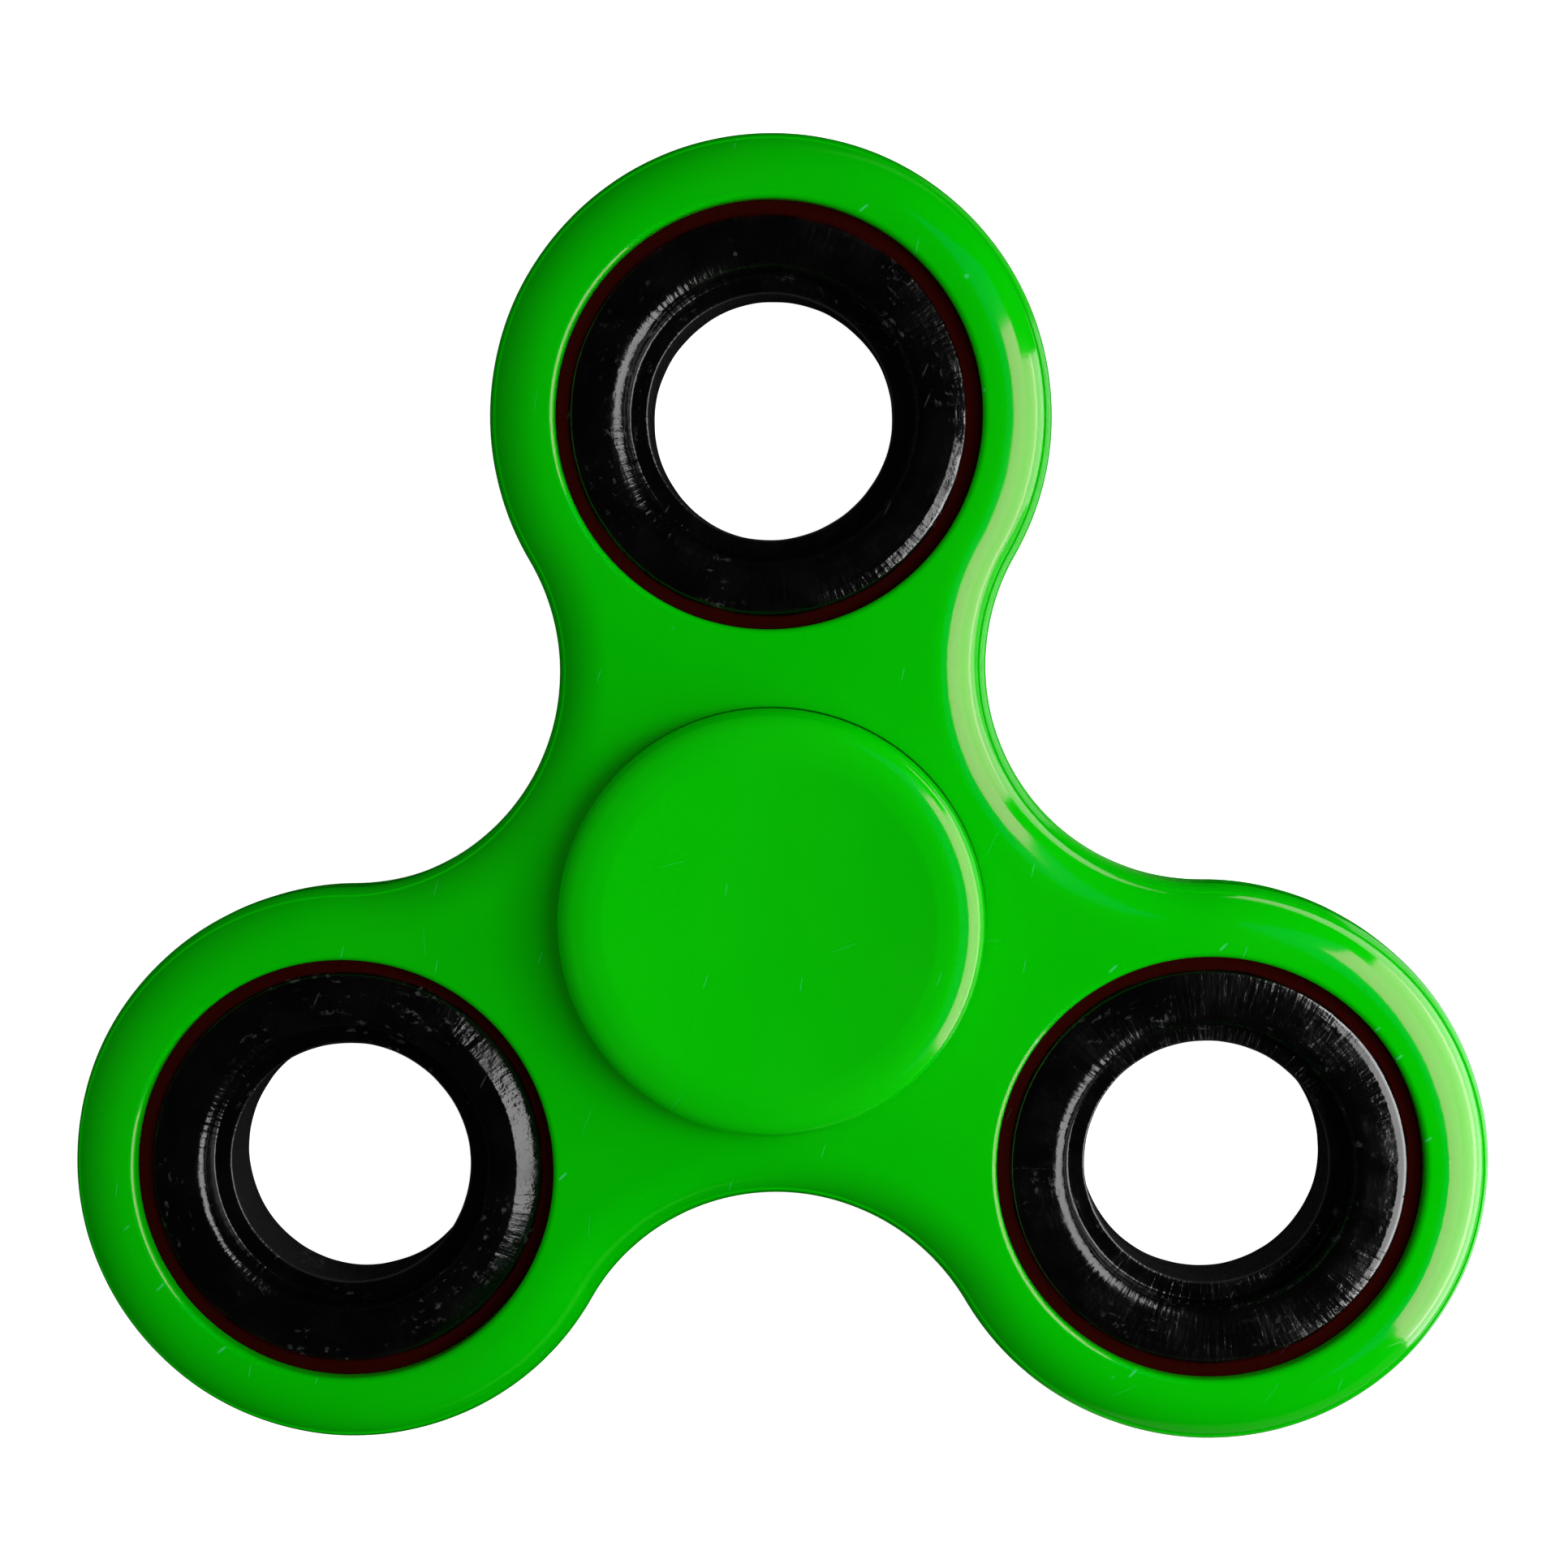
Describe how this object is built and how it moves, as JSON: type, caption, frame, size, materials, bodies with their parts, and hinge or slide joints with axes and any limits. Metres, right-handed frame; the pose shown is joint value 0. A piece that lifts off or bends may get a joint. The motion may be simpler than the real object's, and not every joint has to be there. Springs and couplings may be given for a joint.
{
  "type": "fidget spinner",
  "caption": "Palm-size tri-arm fidget spinner: plastic body with black ring weights pressed into its arms, turning on a shielded ball bearing between two dished finger caps.",
  "frame": {"origin": "centre of the ball bearing, on the spin axis and the body's mid-plane", "axes": "+Z along the spin axis towards the top cap, +Y along the first arm, +X to the right across the other two arms"},
  "size_m": [0.0744, 0.0684, 0.0138],
  "materials": {
    "body_plastic": "glossy moulded bright green with fine handling scratches",
    "cap_plastic": "semi-gloss moulded bright green",
    "weight_paint": "thick, slightly lumpy black gloss paint on steel",
    "race_steel": "ground bearing steel",
    "ball_steel": "polished",
    "cage_steel": "pressed bright steel",
    "shield_steel": "plated, satin"
  },
  "bodies": {
    "hub": {"bearing_inner_race": "race_steel", "finger_cap_top": "cap_plastic", "finger_cap_bottom": "cap_plastic"},
    "rotor": {"tri_arm_body": "body_plastic", "ring_weight_1": "weight_paint", "ring_weight_2": "weight_paint", "ring_weight_3": "weight_paint", "bearing_outer_race": "race_steel", "bearing_shield_top": "shield_steel", "bearing_shield_bottom": "shield_steel", "shield_snap_ring_top": "shield_steel", "shield_snap_ring_bottom": "shield_steel"},
    "ball_cage": {"cage_half_top": "cage_steel", "cage_half_bottom": "cage_steel", "cage_rivets": "cage_steel"},
    "ball_1": {"bearing_ball_1": "ball_steel"},
    "ball_2": {"bearing_ball_2": "ball_steel"},
    "ball_3": {"bearing_ball_3": "ball_steel"},
    "ball_4": {"bearing_ball_4": "ball_steel"},
    "ball_5": {"bearing_ball_5": "ball_steel"},
    "ball_6": {"bearing_ball_6": "ball_steel"},
    "ball_7": {"bearing_ball_7": "ball_steel"}
  },
  "joints": [
    {"name": "spinner_spin", "type": "hinge", "parent": "hub", "child": "rotor", "pos_m": [0, 0, 0], "axis": [0, 0, 1], "continuous": true},
    {"name": "cage_orbit", "type": "hinge", "parent": "hub", "child": "ball_cage", "pos_m": [0, 0, 0], "axis": [0, 0, 1], "continuous": true},
    {"name": "ball_1_roll", "type": "hinge", "parent": "ball_cage", "child": "ball_1", "pos_m": [0, 0.0075, 0], "axis": [0, 0, 1], "continuous": true},
    {"name": "ball_2_roll", "type": "hinge", "parent": "ball_cage", "child": "ball_2", "pos_m": [-0.00586, 0.00468, 0], "axis": [0, 0, 1], "continuous": true},
    {"name": "ball_3_roll", "type": "hinge", "parent": "ball_cage", "child": "ball_3", "pos_m": [-0.00731, -0.00167, 0], "axis": [0, 0, 1], "continuous": true},
    {"name": "ball_4_roll", "type": "hinge", "parent": "ball_cage", "child": "ball_4", "pos_m": [-0.00325, -0.00676, 0], "axis": [0, 0, 1], "continuous": true},
    {"name": "ball_5_roll", "type": "hinge", "parent": "ball_cage", "child": "ball_5", "pos_m": [0.00325, -0.00676, 0], "axis": [0, 0, 1], "continuous": true},
    {"name": "ball_6_roll", "type": "hinge", "parent": "ball_cage", "child": "ball_6", "pos_m": [0.00731, -0.00167, 0], "axis": [0, 0, 1], "continuous": true},
    {"name": "ball_7_roll", "type": "hinge", "parent": "ball_cage", "child": "ball_7", "pos_m": [0.00586, 0.00468, 0], "axis": [0, 0, 1], "continuous": true}
  ],
  "couplings": [
    {"joint": "cage_orbit", "follows": "spinner_spin", "ratio": 0.63229},
    {"joint": "ball_1_roll", "follows": "spinner_spin", "ratio": 1.7575},
    {"joint": "ball_2_roll", "follows": "spinner_spin", "ratio": 1.7575},
    {"joint": "ball_3_roll", "follows": "spinner_spin", "ratio": 1.7575},
    {"joint": "ball_4_roll", "follows": "spinner_spin", "ratio": 1.7575},
    {"joint": "ball_5_roll", "follows": "spinner_spin", "ratio": 1.7575},
    {"joint": "ball_6_roll", "follows": "spinner_spin", "ratio": 1.7575},
    {"joint": "ball_7_roll", "follows": "spinner_spin", "ratio": 1.7575}
  ]
}
